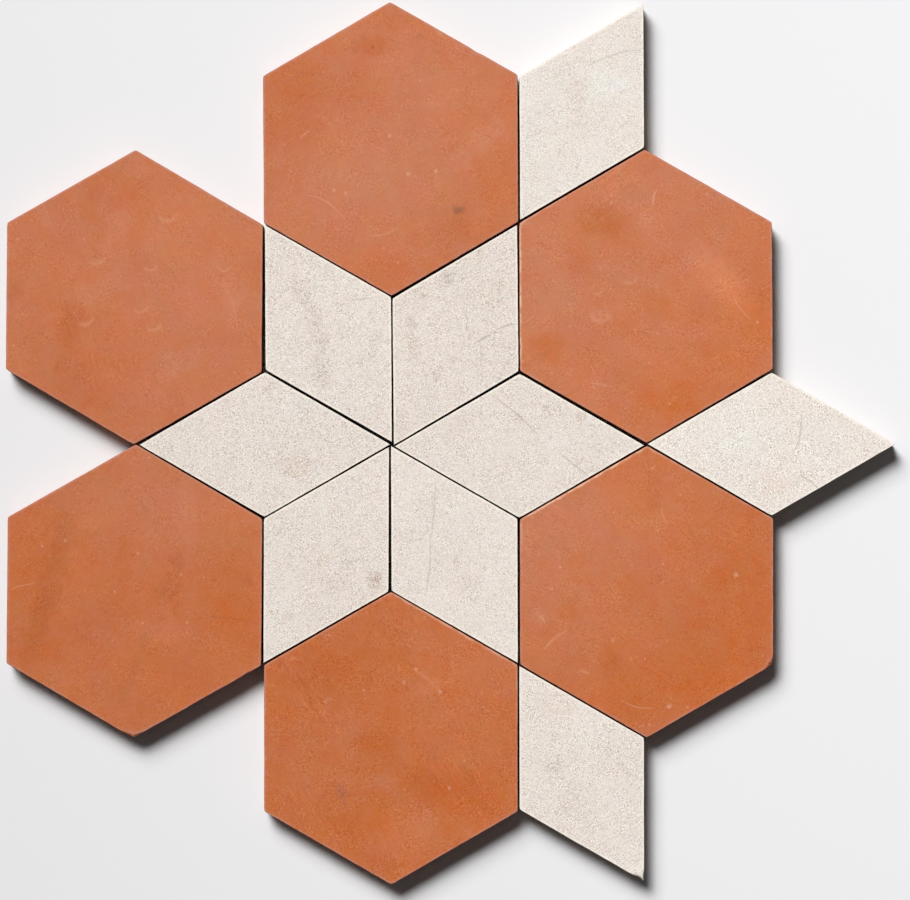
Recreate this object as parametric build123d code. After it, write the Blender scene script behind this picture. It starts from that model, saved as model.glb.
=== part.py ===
from build123d import *
import os
from math import atan, ceil, degrees, floor, sqrt

# A sheet of star mosaic: terracotta hexagons round a six-pointed star of marble diamonds,
# glued face up on an open mesh of glass strands. Three more diamonds stand out on the right
# and fill the notches that the next sheets have on their left. Millimetres. The origin is the
# middle of the star on the underside of the mesh, +Z is the face and +Y the top of the sheet.

# Driving dimensions
cell_side = 50.0  # side of the pattern's cells, between the middles of the joints
hexagon_inset = 0.2  # gap between a hexagon's sides and its cell
diamond_inset = 0.4  # gap between a diamond's sides and its cell
tile_thickness = 10.0
hexagon_arris = 0.35  # bevel round the face of a fired tile
diamond_arris = 0.25  # finer bevel round the face of a sawn tile
strand_pitch = 5.0  # middle to middle of the mesh's strands
strand_width = 0.9
strand_thickness = 0.25
mesh_margin = 2.75  # the mesh stops this far inside the sheet's edge

# How each tile was cut and set by hand, as shares of the joint: moved right, moved up, turned
# anticlockwise, and how far its sides stand out from where they are drawn. Each group goes
# round the star anticlockwise.
hexagons = {
    "hexagon_upper_right": (0.0, 0.15, 0.5, -0.15),
    "hexagon_top": (0.05, 0.1, 0.45, 0.15),
    "hexagon_upper_left": (-0.45, -0.4, -0.7, 0.3),
    "hexagon_lower_left": (-0.35, 0.1, -0.7, 0.05),
    "hexagon_bottom": (0.2, 0.35, 0.05, -0.1),
    "hexagon_lower_right": (0.35, -0.15, 0.05, -0.35),
}
star_diamonds = {
    "star_diamond_right": (0.6, -1.0, 0.2, -0.05),
    "star_diamond_upper_right": (0.45, -1.0, 0.7, 0.2),
    "star_diamond_upper_left": (0.8, 0.0, 0.4, 0.15),
    "star_diamond_left": (0.95, -0.35, 0.05, 0.1),
    "star_diamond_lower_left": (-0.3, -0.35, -0.25, 0.0),
    "star_diamond_lower_right": (0.0, 0.1, 0.25, 0.2),
}
outer_diamonds = {
    "outer_diamond_lower_right": (-0.35, 1.3, 0.1, -0.15),
    "outer_diamond_right": (-1.2, -0.05, 0.0, -0.25),
    "outer_diamond_upper_right": (-0.25, 0.15, 0.35, -0.15),
}

# What follows from them
joint = hexagon_inset + diamond_inset  # clear width between a hexagon and a diamond
tip_reach = cell_side * sqrt(3) / 2  # middle of a diamond to its sharp tip
mesh_thickness = 2 * strand_thickness  # two crossed layers

# Cells, each with a corner on the line that leads out from the middle of the star
hexagon_cell = RegularPolygon(cell_side, 6)
diamond_cell = Polygon(
    (tip_reach, 0),
    (0, cell_side / 2),
    (-tip_reach, 0),
    (0, -cell_side / 2),
)

# Each group's settings, cell, inset, bevel, distance of its cells from the middle of the star,
# reach of its furthest corner and the direction in degrees where it starts
groups = (
    (hexagons, hexagon_cell, hexagon_inset, hexagon_arris, 2 * cell_side, cell_side, 30),
    (star_diamonds, diamond_cell, diamond_inset, diamond_arris, tip_reach, tip_reach, 0),
    (outer_diamonds, diamond_cell, diamond_inset, diamond_arris, 3 * tip_reach, tip_reach, -60),
)


def cell_place(distance, direction):
    return Rot(Z=direction) * Pos(X=distance)


def tile(cell, inset, arris):
    # the cell's outline drawn in, raised to its thickness, with a bevel round the face
    blank = extrude(offset(cell, -inset, kind=Kind.INTERSECTION), tile_thickness)
    return chamfer(blank.faces().sort_by(Axis.Z)[-1].edges(), arris)


def hand_set(right, up, turn, corner_reach):
    # a turn of one share moves the tile's furthest corner by one joint
    shift = Pos(right * joint, up * joint, mesh_thickness)
    return shift, Rot(Z=degrees(atan(turn * joint / corner_reach)))


def tiles():
    laid = {}
    for settings, cell, inset, arris, distance, corner_reach, start in groups:
        for step, (name, (right, up, turn, larger)) in enumerate(settings.items()):
            piece = tile(cell, inset - larger * joint, arris)
            shift, swing = hand_set(right, up, turn, corner_reach)
            laid[name] = shift * cell_place(distance, start + 60 * step) * swing * piece
    return laid


def mesh_outline():
    # all the cells together, drawn in by the margin
    cells = []
    for settings, cell, inset, arris, distance, corner_reach, start in groups:
        for step in range(len(settings)):
            cells.append(cell_place(distance, start + 60 * step) * cell)
    return offset(Sketch() + cells, -mesh_margin, kind=Kind.INTERSECTION)


def strands(outline, turn, first_strand, level):
    # parallel strands cut along the outline; an end that is too short to reach a crossing
    # strand falls away
    upright = Rot(Z=-turn) * Pos(0, 0, level) * outline
    box = upright.bounding_box()
    strip = Pos(X=first_strand) * Rectangle(strand_width, 2 * box.diagonal)
    columns = range(floor(box.min.X / strand_pitch), ceil(box.max.X / strand_pitch) + 1)
    rows = Sketch() + [Pos(column * strand_pitch, 0, level) * strip for column in columns]
    cut = extrude(upright & rows, strand_thickness)
    kept = [strand for strand in cut.solids() if strand.bounding_box().size.Y > strand_pitch]
    return Rot(Z=turn) * Compound(kept)


nodes = tiles()
outline = mesh_outline()
nodes["mesh_warp"] = strands(outline, 0, 0, 0)
nodes["mesh_weft"] = strands(outline, 90, strand_pitch / 2, strand_thickness)

os.makedirs("parts", exist_ok=True)
for name, shape in nodes.items():
    export_step(shape, f"parts/{name}.step")
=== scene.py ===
import math
import bpy
import numpy as np
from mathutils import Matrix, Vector


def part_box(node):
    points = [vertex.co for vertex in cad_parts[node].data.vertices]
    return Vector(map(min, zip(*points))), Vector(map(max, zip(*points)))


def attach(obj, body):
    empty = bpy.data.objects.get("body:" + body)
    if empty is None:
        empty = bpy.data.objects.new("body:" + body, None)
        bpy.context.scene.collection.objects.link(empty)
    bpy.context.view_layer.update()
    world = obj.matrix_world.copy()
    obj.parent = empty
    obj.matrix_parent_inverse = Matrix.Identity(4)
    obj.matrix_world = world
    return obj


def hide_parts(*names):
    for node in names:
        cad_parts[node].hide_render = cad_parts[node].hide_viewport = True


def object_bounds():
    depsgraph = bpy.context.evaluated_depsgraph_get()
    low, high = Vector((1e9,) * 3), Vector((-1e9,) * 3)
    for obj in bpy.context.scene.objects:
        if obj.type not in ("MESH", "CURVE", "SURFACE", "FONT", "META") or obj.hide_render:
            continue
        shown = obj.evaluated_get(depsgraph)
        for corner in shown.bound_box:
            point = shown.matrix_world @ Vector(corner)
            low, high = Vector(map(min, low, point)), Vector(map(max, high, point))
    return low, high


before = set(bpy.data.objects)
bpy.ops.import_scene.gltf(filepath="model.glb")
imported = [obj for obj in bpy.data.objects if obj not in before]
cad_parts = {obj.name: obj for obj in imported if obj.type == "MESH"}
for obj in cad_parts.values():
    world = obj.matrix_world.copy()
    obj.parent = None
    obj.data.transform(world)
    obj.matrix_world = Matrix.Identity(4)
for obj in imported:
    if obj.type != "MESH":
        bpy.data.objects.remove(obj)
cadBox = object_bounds()
print("frame:", len(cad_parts), "nodes")

# The photo's frame, and where its pixels lie on the tiled face
photo = {
    "width": 910,
    "height": 900,
    "starX": 390.6,  # middle of the star
    "starY": 444.0,
    "sidePixels": 147.5,  # side of one pattern cell
    "side": 0.050,
}
pixel = photo["side"] / photo["sidePixels"]
faceLevel = cadBox[1].z
millimetre = 0.001


def fromPhoto(x, y):
    return np.array(((x - photo["starX"]) * pixel, (photo["starY"] - y) * pixel))


# Small helpers for node trees

def put(tree, kind, inputs=(), **settings):
    made = tree.nodes.new("ShaderNode" + kind)
    for name, value in settings.items():
        setattr(made, name, value)
    for name, value in dict(inputs).items():
        if isinstance(value, bpy.types.NodeSocket):
            tree.links.new(value, made.inputs[name])
        else:
            made.inputs[name].default_value = value
    return made


def calc(tree, operation, *values, clamp=False):
    made = put(tree, "Math", enumerate(values), operation=operation, use_clamp=clamp)
    return made.outputs[0]


def vectorCalc(tree, operation, *values):
    made = put(tree, "VectorMath", enumerate(values), operation=operation)
    return made.outputs["Value" if operation in ("DOT_PRODUCT", "LENGTH", "DISTANCE") else "Vector"]


def scaled(tree, vector, factor):
    return put(tree, "VectorMath", {0: vector, "Scale": factor}, operation="SCALE").outputs[0]


def ramp(tree, value, low, high, lowOut=0.0, highOut=1.0):
    inputs = {"Value": value, "From Min": low, "From Max": high}
    inputs.update({"To Min": lowOut, "To Max": highOut})
    return put(tree, "MapRange", inputs, interpolation_type="SMOOTHSTEP").outputs[0]


def close(tree, distance, reach):  # one at no distance, nothing from reach on
    return ramp(tree, distance, 0.0, reach, 1.0, 0.0)


def blend(tree, factor, first, second):
    return put(tree, "Mix", {0: factor, 6: first, 7: second}, data_type="RGBA").outputs[2]


def noise(tree, vector, size, detail=2.0, roughness=0.5, distortion=0.0, output=0):
    inputs = {"Vector": vector, "Scale": 1 / size, "Detail": detail}
    inputs.update({"Roughness": roughness, "Distortion": distortion})
    return put(tree, "TexNoise", inputs).outputs[output]


def centred(tree, value, amount):  # noise about zero
    return calc(tree, "MULTIPLY", calc(tree, "SUBTRACT", value, 0.5), amount)


def newGroup(name, inputs, outputs):
    group = bpy.data.node_groups.new(name, "ShaderNodeTree")
    for label, kind in inputs.items():
        group.interface.new_socket(label, in_out="INPUT", socket_type="NodeSocket" + kind)
    for label, kind in outputs.items():
        group.interface.new_socket(label, in_out="OUTPUT", socket_type="NodeSocket" + kind)
    ins = group.nodes.new("NodeGroupInput").outputs
    outs = group.nodes.new("NodeGroupOutput").inputs
    return group, ins, outs


def place(tree, group, **inputs):
    return put(tree, "Group", inputs, node_tree=group).outputs


def colour(red, green, blue):  # sRGB 0 to 255, as read off a picture, to linear
    share = np.array((red, green, blue)) / 255
    linear = np.where(share <= 0.04045, share / 12.92, ((share + 0.055) / 1.055) ** 2.4)
    return (*linear.tolist(), 1.0)


# Shared finishes
patternSizes = {
    "broadCloud": 24 * millimetre,
    "smallCloud": 6 * millimetre,
    "tint": 1.6 * millimetre,
    "stroke": 0.75 * millimetre,
    "strokePatch": 11 * millimetre,
    "wear": 3 * millimetre,
}


def makeGrain():
    # even grain about zero, two octaves under Size
    sockets = {"Vector": "Vector", "Size": "Float", "Roughness": "Float"}
    group, ins, outs = newGroup("grain", sockets, {"Grain": "Float"})
    scale = calc(group, "DIVIDE", 1.0, ins["Size"])
    inputs = {"Vector": ins["Vector"], "Scale": scale, "Detail": 2.0, "Roughness": ins["Roughness"]}
    raw = put(group, "TexNoise", inputs).outputs[0]
    group.links.new(centred(group, raw, 2.0), outs["Grain"])
    return group


def makeClouds():
    # soft clouding about zero: a broad noise and a smaller one
    sockets = {"Vector": "Vector", "Broad": "Float", "Small": "Float"}
    group, ins, outs = newGroup("clouding", sockets, {"Tone": "Float"})
    broad = noise(group, ins["Vector"], patternSizes["broadCloud"], 3.0, 0.5, 0.8)
    small = noise(group, ins["Vector"], patternSizes["smallCloud"], 3.0, 0.65)
    broadPart = calc(group, "MULTIPLY", centred(group, broad, 2.0), ins["Broad"])
    smallPart = calc(group, "MULTIPLY", centred(group, small, 2.0), ins["Small"])
    group.links.new(calc(group, "ADD", broadPart, smallPart), outs["Tone"])
    return group


def makeTints():
    # faint hues about zero: red, green and blue each follow a noise of their own
    sockets = {"Vector": "Vector", "Amount": "Vector"}
    group, ins, outs = newGroup("tints", sockets, {"Hue": "Vector"})
    hues = noise(group, ins["Vector"], patternSizes["tint"], 3.0, 0.7, output="Color")
    about = vectorCalc(group, "SUBTRACT", hues, (0.5, 0.5, 0.5))
    group.links.new(vectorCalc(group, "MULTIPLY", about, ins["Amount"]), outs["Hue"])
    return group


def makeStrokes():
    # short strokes along one direction, about zero and only in patches: noise drawn out eightfold
    sockets = {"Vector": "Vector", "Turn": "Float"}
    group, ins, outs = newGroup("strokes", sockets, {"Stroke": "Float"})
    turning = {"Vector": ins["Vector"], "Angle": ins["Turn"]}
    turned = put(group, "VectorRotate", turning, rotation_type="Z_AXIS").outputs[0]
    lift = (0.0, 0.0, 0.25 * millimetre)
    drawnOut = vectorCalc(group, "MULTIPLY_ADD", turned, (0.12, 1.0, 0.0), lift)
    stroke = centred(group, noise(group, drawnOut, patternSizes["stroke"], 2.0, 0.6), 2.0)
    patchLift = (0.0, 0.0, 4 * millimetre)
    broad = vectorCalc(group, "MULTIPLY_ADD", turned, (0.6, 1.0, 0.0), patchLift)
    patch = ramp(group, noise(group, broad, patternSizes["strokePatch"], 3.0, 0.6), 0.48, 0.66)
    group.links.new(calc(group, "MULTIPLY", stroke, patch), outs["Stroke"])
    return group


def makeSpecks():
    # round specks, one in each cell of a Voronoi pattern, where the cell's lot is under Share
    sockets = {"Vector": "Vector", "Size": "Float", "Share": "Float"}
    group, ins, outs = newGroup("specks", sockets, {"Mask": "Float"})
    scale = calc(group, "DIVIDE", 1.0, ins["Size"])
    cells = put(group, "TexVoronoi", {"Vector": ins["Vector"], "Scale": scale})
    lot = put(group, "SeparateColor", {0: cells.outputs["Color"]})
    chosen = calc(group, "LESS_THAN", lot.outputs[0], ins["Share"])
    radius = calc(group, "MULTIPLY_ADD", lot.outputs[1], 0.25, 0.12)
    near = close(group, cells.outputs["Distance"], radius)
    group.links.new(calc(group, "MULTIPLY", chosen, near), outs["Mask"])
    return group


def markGroup(name, sockets):
    # a group for one mark on the face, and the flat place that it is measured at
    inputs = {"Vector": "Vector", **sockets, "Strength": "Float", "Mask": "Float"}
    group, ins, outs = newGroup(name, inputs, {"Mask": "Float"})
    flat = vectorCalc(group, "MULTIPLY", ins["Vector"], (1.0, 1.0, 0.0))
    return group, ins, outs, flat


def addMark(group, ins, outs, near):
    # where marks cross, the stronger one shows
    mine = calc(group, "MULTIPLY", near, ins["Strength"])
    group.links.new(calc(group, "MAXIMUM", mine, ins["Mask"]), outs["Mask"])
    return group


def makeHairline():
    # closeness to a bowed line: Start + t (End - Start) + Bow 4t(1-t), thinner towards both ends
    sockets = {"Start": "Vector", "End": "Vector", "Bow": "Vector", "Width": "Float"}
    group, ins, outs, flat = markGroup("hairline", sockets)
    run = vectorCalc(group, "SUBTRACT", ins["End"], ins["Start"])
    away = vectorCalc(group, "SUBTRACT", flat, ins["Start"])
    along = vectorCalc(group, "DOT_PRODUCT", away, run)
    share = calc(group, "DIVIDE", along, vectorCalc(group, "DOT_PRODUCT", run, run), clamp=True)
    rest = calc(group, "SUBTRACT", 1.0, share)
    hump = calc(group, "MULTIPLY", calc(group, "MULTIPLY", share, 4.0), rest)
    line = vectorCalc(group, "ADD", scaled(group, run, share), scaled(group, ins["Bow"], hump))
    distance = vectorCalc(group, "DISTANCE", away, line)
    width = calc(group, "MULTIPLY", ins["Width"], calc(group, "MULTIPLY_ADD", hump, 0.6, 0.4))
    return addMark(group, ins, outs, close(group, distance, width))


def makeDot():
    # closeness to Centre, within Radius
    group, ins, outs, flat = markGroup("dot", {"Centre": "Vector", "Radius": "Float"})
    distance = vectorCalc(group, "DISTANCE", flat, ins["Centre"])
    return addMark(group, ins, outs, close(group, distance, ins["Radius"]))


def makeCrescent():
    # an arc of a soft ring: closeness to Radius round Centre, fading away from Facing
    sockets = {"Centre": "Vector", "Facing": "Vector", "Radius": "Float", "Width": "Float"}
    group, ins, outs, flat = markGroup("crescent", sockets)
    away = vectorCalc(group, "SUBTRACT", flat, ins["Centre"])
    length = vectorCalc(group, "LENGTH", away)
    off = calc(group, "ABSOLUTE", calc(group, "SUBTRACT", length, ins["Radius"]))
    facing = vectorCalc(group, "DOT_PRODUCT", vectorCalc(group, "NORMALIZE", away), ins["Facing"])
    fade = ramp(group, facing, 0.15, 0.85)
    near = close(group, off, ins["Width"])
    return addMark(group, ins, outs, calc(group, "MULTIPLY", near, fade))


def makeArrisWearAndHighlight():
    # the bevel's rim, broken up by noise
    sockets = {"Vector": "Vector", "Rim": "Float", "Wear": "Float"}
    group, ins, outs = newGroup("arrisWearAndHighlight", sockets, {"Mask": "Float"})
    patchy = noise(group, ins["Vector"], patternSizes["wear"], 3.0, 0.7)
    wornAndHighlit = ramp(group, patchy, 0.35, 0.65, 0.25, 1.0)
    mask = calc(group, "MULTIPLY", calc(group, "MULTIPLY", ins["Rim"], wornAndHighlit), ins["Wear"])
    group.links.new(mask, outs["Mask"])
    return group


grainGroup = makeGrain()
cloudGroup = makeClouds()
speckGroup = makeSpecks()
hairlineGroup = makeHairline()
dotGroup = makeDot()
crescentGroup = makeCrescent()
tintGroup = makeTints()
strokeGroup = makeStrokes()
arrisGroup = makeArrisWearAndHighlight()
print("shared finishes:", len(bpy.data.node_groups))


# Materials

def newMaterial(name):
    material = bpy.data.materials.new(name)
    material.use_nodes = True
    tree = material.node_tree
    return material, tree, tree.nodes["Principled BSDF"]


def attribute(tree, name):
    return put(tree, "Attribute", attribute_name=name).outputs["Fac"]


def spot(point):  # a place on the face as a flat vector
    return (float(point[0]), float(point[1]), 0.0)


markShares = {"lineWidth": 0.8, "crescent": 0.34}  # how much of a mark's width or strength is drawn


def lines(tree, vector, marks, finish):
    # (x, y) to (x, y) in pixels of the photo, bow and width in pixels, strength
    mask = 0.0
    for startX, startY, endX, endY, bow, width, strength in marks:
        start = fromPhoto(startX, startY)
        end = fromPhoto(endX, endY)
        run = end - start
        side = np.array((-run[1], run[0])) / np.hypot(*run)
        bowed = spot(side * bow * pixel)
        mask = place(
            tree, hairlineGroup, Vector=vector, Start=spot(start), End=spot(end), Bow=bowed,
            Width=markShares["lineWidth"] * width * pixel, Strength=finish["lines"] * strength,
            Mask=mask,
        )["Mask"]
    return mask


def dots(tree, vector, marks, mask):
    # middle and radius in pixels of the photo, strength
    for x, y, radius, strength in marks:
        centre = spot(fromPhoto(x, y))
        mask = place(
            tree, dotGroup, Vector=vector, Centre=centre, Radius=radius * pixel, Strength=strength,
            Mask=mask,
        )["Mask"]
    return mask


def crescents(tree, vector, marks, mask):
    # middle in pixels of the photo, radius in pixels, facing in degrees, width in pixels, strength
    for x, y, radius, facing, width, strength in marks:
        turn = math.radians(facing)
        mask = place(
            tree, crescentGroup, Vector=vector, Centre=spot(fromPhoto(x, y)),
            Facing=(math.cos(turn), math.sin(turn), 0.0), Radius=radius * pixel,
            Width=width * pixel, Strength=markShares["crescent"] * strength, Mask=mask,
        )["Mask"]
    return mask


faceNoise = {
    "tilt": (0.6, 0.4, 0.3),  # radians, so that the face cuts the noise aslant
    "ruffleSize": 4 * millimetre,
    "ruffle": 0.8 * millimetre,  # how far lines wander
}


def faceVectors(tree, seed):
    # the piece's own coordinates tilted, then moved by its seed so that no two tiles match, and
    # ruffled for lines
    here = put(tree, "TexCoord").outputs["Object"]
    shift = tuple(np.random.default_rng(seed).uniform(-5, 5, 3).tolist())
    tilted = put(tree, "Mapping", {"Vector": here, "Rotation": faceNoise["tilt"]}).outputs[0]
    moved = vectorCalc(tree, "ADD", tilted, shift)
    wander = noise(tree, moved, faceNoise["ruffleSize"], 1.0, output="Color")
    about = vectorCalc(tree, "SUBTRACT", wander, (0.5, 0.5, 0.5))
    ruffled = vectorCalc(tree, "ADD", here, scaled(tree, about, faceNoise["ruffle"]))
    return tilted, moved, ruffled


def overlay(tree, body, mask, strength, tint):
    return blend(tree, calc(tree, "MULTIPLY", mask, strength), body, tint)


def clouded(tree, moved, finish):
    # the tile's own tone and fine clouding, from one colour to the other
    clouds = place(tree, cloudGroup, Vector=moved, **finish["clouding"])["Tone"]
    tone = calc(tree, "ADD", attribute(tree, "tone"), clouds)
    share = calc(tree, "MULTIPLY_ADD", tone, 0.5, 0.5, clamp=True)
    return blend(tree, share, finish["toneDown"], finish["toneUp"])


def tinted(tree, body, moved, finish):
    hues = place(tree, tintGroup, Vector=moved, Amount=finish["hues"])["Hue"]
    return vectorCalc(tree, "ADD", body, hues)


def specked(tree, body, moved, finish, tint):
    specks = place(tree, speckGroup, Vector=moved, **finish["specks"])["Mask"]
    return overlay(tree, body, specks, finish["speckStrength"], tint)


# a pale rim from a line attribute: arris wear, and on the lit arrises a painted highlight as well
def wornAndHighlit(tree, body, moved, line, wear, tint):
    mask = place(tree, arrisGroup, Vector=moved, Rim=attribute(tree, line), Wear=wear)["Mask"]
    return blend(tree, mask, body, tint)


def dustyShadedSides(tree, body, face, finish):  # sides and foot: dust, with painted shade that darkens them in the joints
    return overlay(tree, body, calc(tree, "SUBTRACT", 1.0, face), finish["dustAndShade"], finish["side"])


def finishTile(tree, shader, body, grain, finish):
    tree.links.new(body, shader.inputs["Base Color"])
    roughness = calc(tree, "MULTIPLY_ADD", grain, finish["roughGrain"], finish["roughness"])
    tree.links.new(roughness, shader.inputs["Roughness"])
    inputs = {"Strength": finish["bump"], "Distance": finish["bumpDepth"], "Height": grain}
    tree.links.new(put(tree, "Bump", inputs).outputs[0], shader.inputs["Normal"])
    shader.inputs["Specular IOR Level"].default_value = finish["specular"]


terracottaFinish = {
    "toneDown": colour(196, 101, 43),  # orange
    "toneUp": colour(200, 126, 92),  # mauve
    "pale": colour(236, 186, 156),  # scuffs, and the rubbed arrises with their painted highlight
    "rim": colour(194, 138, 125),  # worn arrises
    "dark": colour(120, 68, 48),
    "side": colour(136, 94, 72),  # dusty sides and back, darkened with painted shade so the joints read darker
    "clouding": {"Broad": 0.5, "Small": 0.65},
    "shade": 0.08,
    "ruddyClouding": {"Broad": 0.9, "Small": 0.4},
    "ruddy": (0.10, 0.05, -0.10),  # what one step of the veil does to red, green and blue
    "purple": (0.03, -0.08, 0.06),
    "purpleSize": 16 * millimetre,
    "grain": {"Size": 0.65 * millimetre, "Roughness": 0.8},
    "grit": (0.135, 0.25, 0.38),  # how far the grain lightens and darkens, as a share of the colour
    "leastGrit": (0.042, 0.028, 0.018),
    "gritPatch": 7 * millimetre,
    "gritRange": (0.35, 1.65),
    "hues": (0.05, 0.042, 0.028),
    "specks": {"Size": 2.2 * millimetre, "Share": 0.05},
    "speckStrength": 0.35,
    "lines": 0.6,
    "rimWear": 0.8,
    "rubbedHighlightWear": 0.9,
    "dustAndShade": 0.8,
    "roughness": 0.58,
    "roughGrain": 0.06,
    "bump": 0.25,
    "bumpDepth": 0.05 * millimetre,
    "specular": 0.2,
}


def terracotta(name, tile):
    finish = terracottaFinish
    material, tree, shader = newMaterial("terracotta_" + name)
    tilted, moved, ruffled = faceVectors(tree, tile["seed"])
    face = attribute(tree, "face")
    body = clouded(tree, moved, finish)
    shade = attribute(tree, "shade")
    body = scaled(tree, body, calc(tree, "MULTIPLY_ADD", shade, finish["shade"], 1.0))
    # two veils of their own: ruddy or dull, and purple or olive
    ruddy = place(tree, cloudGroup, Vector=tilted, **finish["ruddyClouding"])["Tone"]
    purple = noise(tree, scaled(tree, moved, 1.4), finish["purpleSize"], 3.0, 0.6)
    veil = vectorCalc(tree, "ADD", scaled(tree, finish["ruddy"], ruddy), (1.0, 1.0, 1.0))
    purple = scaled(tree, finish["purple"], centred(tree, purple, 2.0))
    body = vectorCalc(tree, "MULTIPLY", body, vectorCalc(tree, "ADD", purple, veil))
    # the grain comes and goes, faint hues lie over it, and strokes cross the face in places
    grain = place(tree, grainGroup, Vector=moved, **finish["grain"])["Grain"]
    patchy = noise(tree, tilted, finish["gritPatch"], 3.0, 0.6)
    coming = ramp(tree, patchy, 0.36, 0.66, *finish["gritRange"])
    coarse = calc(tree, "MULTIPLY", grain, calc(tree, "MULTIPLY", coming, tile.get("grit", 1.0)))
    grit = vectorCalc(tree, "MULTIPLY_ADD", body, finish["grit"], finish["leastGrit"])
    body = vectorCalc(tree, "ADD", body, scaled(tree, grit, coarse))
    body = tinted(tree, body, moved, finish)
    direction, strength = tile["strokes"]
    strokes = place(tree, strokeGroup, Vector=ruffled, Turn=-math.radians(direction))["Stroke"]
    body = scaled(tree, body, calc(tree, "MULTIPLY_ADD", strokes, strength, 1.0))
    body = specked(tree, body, moved, finish, finish["pale"])
    scuffs = lines(tree, ruffled, tile.get("scratches", ()), finish)
    scuffs = crescents(tree, ruffled, tile.get("crescents", ()), scuffs)
    scuffs = dots(tree, ruffled, tile.get("dots", ()), scuffs)
    body = overlay(tree, body, scuffs, face, finish["pale"])
    stains = lines(tree, ruffled, tile.get("darkMarks", ()), finish)
    stains = dots(tree, ruffled, tile.get("darkDots", ()), stains)
    body = overlay(tree, body, stains, face, finish["dark"])
    # arrises, rubbed through in places with a painted highlight on the lit arrises, and dusty sides
    # with painted shade
    body = wornAndHighlit(tree, body, moved, "arrisLine", finish["rimWear"], finish["rim"])
    body = wornAndHighlit(tree, body, moved, "rubbedHighlight", finish["rubbedHighlightWear"], finish["pale"])
    body = dustyShadedSides(tree, body, face, finish)
    finishTile(tree, shader, body, grain, finish)
    return material


marbleFinish = {
    "toneDown": colour(230, 224, 216),  # grey
    "toneUp": colour(233, 218, 207),  # brown
    "vein": colour(176, 160, 148),
    "speck": colour(186, 170, 156),
    "fleck": colour(145, 116, 104),
    "pale": colour(255, 246, 232),  # worn arrises
    "side": colour(166, 142, 118),  # dusty sides and back, darkened with painted shade so the joints read darker
    "grimeAndShade": colour(110, 76, 52),  # grime with painted shade, on the bevels and down in the joints
    "clouding": {"Broad": 0.5, "Small": 0.5},
    "shadeClouding": {"Broad": 1.2, "Small": 0.9},
    "shade": (0.042, 0.05, 0.056),  # what one step of shade does to red, green and blue
    "blotchSize": 4 * millimetre,
    "blotchShade": 0.5,
    "grain": {"Size": 0.43 * millimetre, "Roughness": 0.8},
    "grit": (0.51, 0.515, 0.52),  # how far the grain lightens and darkens
    "gritWithShade": -0.12,
    "gritPatch": 5 * millimetre,
    "gritRange": (0.75, 1.25),
    "hues": (0.1, 0.1, 0.1),
    "fleckSize": 1.6 * millimetre,
    "fleckStrength": 0.28,
    "fleckWithShade": -0.04,
    "clusterSize": 9 * millimetre,
    "cluster": 0.25,
    "specks": {"Size": 1.4 * millimetre, "Share": 0.10},
    "speckStrength": 0.45,
    "lines": 1.0,
    "rimWear": 1.0,
    "dustAndShade": 0.8,
    # how strongly grime and painted shade darken the bevels
    "dirtAndShade": 0.9,
    "roughness": 0.42,
    "roughGrain": 0.05,
    "bump": 0.2,
    "bumpDepth": 0.02 * millimetre,
    "specular": 0.35,
}


def marble(name, tile):
    finish = marbleFinish
    material, tree, shader = newMaterial("marble_" + name)
    tilted, moved, ruffled = faceVectors(tree, tile["seed"])
    face = attribute(tree, "face")
    body = clouded(tree, moved, finish)
    # blotches are darker and grainier than the ground
    blotches = ramp(tree, noise(tree, moved, finish["blotchSize"], 3.0, 0.65), 0.5, 0.72)
    shadeClouds = place(tree, cloudGroup, Vector=tilted, **finish["shadeClouding"])["Tone"]
    shade = calc(tree, "ADD", attribute(tree, "shade"), shadeClouds)
    shade = calc(tree, "SUBTRACT", shade, calc(tree, "MULTIPLY", blotches, finish["blotchShade"]))
    light = vectorCalc(tree, "ADD", scaled(tree, finish["shade"], shade), (1.0, 1.0, 1.0))
    body = vectorCalc(tree, "MULTIPLY", body, light)
    # the grain's dark side reaches half as far again as its light side
    grain = place(tree, grainGroup, Vector=moved, **finish["grain"])["Grain"]
    pitted = calc(tree, "MULTIPLY_ADD", calc(tree, "MINIMUM", grain, 0.0), 0.5, grain)
    coarseness = calc(tree, "MULTIPLY_ADD", shade, finish["gritWithShade"], tile.get("grit", 1.0))
    patchy = noise(tree, tilted, finish["gritPatch"], 2.0, 0.6)
    coming = ramp(tree, patchy, 0.36, 0.64, *finish["gritRange"])
    pitted = calc(tree, "MULTIPLY", pitted, calc(tree, "MULTIPLY", coarseness, coming))
    body = vectorCalc(tree, "ADD", body, scaled(tree, finish["grit"], pitted))
    body = tinted(tree, body, moved, finish)
    # flecks gather in clusters and where the stone is darker
    flecks = noise(tree, scaled(tree, moved, 1.3), finish["fleckSize"], 2.0, 0.6)
    cluster = noise(tree, moved, finish["clusterSize"], 2.0, 0.5)
    cluster = centred(tree, cluster, finish["cluster"])
    gather = calc(tree, "MULTIPLY_ADD", shade, finish["fleckWithShade"], cluster)
    flecks = ramp(tree, calc(tree, "ADD", flecks, gather), 0.58, 0.78)
    body = overlay(tree, body, flecks, finish["fleckStrength"], finish["fleck"])
    body = specked(tree, body, moved, finish, finish["speck"])
    veins = lines(tree, ruffled, tile.get("veins", ()), finish)
    body = overlay(tree, body, veins, face, finish["vein"])
    # pale arrises, dusty sides with painted shade, and grime with painted shade on the bevels and
    # down in the joints
    body = wornAndHighlit(tree, body, moved, "arrisLine", finish["rimWear"], finish["pale"])
    body = dustyShadedSides(tree, body, face, finish)
    body = overlay(tree, body, attribute(tree, "bevel"), finish["dirtAndShade"], finish["grimeAndShade"])
    finishTile(tree, shader, body, grain, finish)
    return material


# Surfaces

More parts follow.
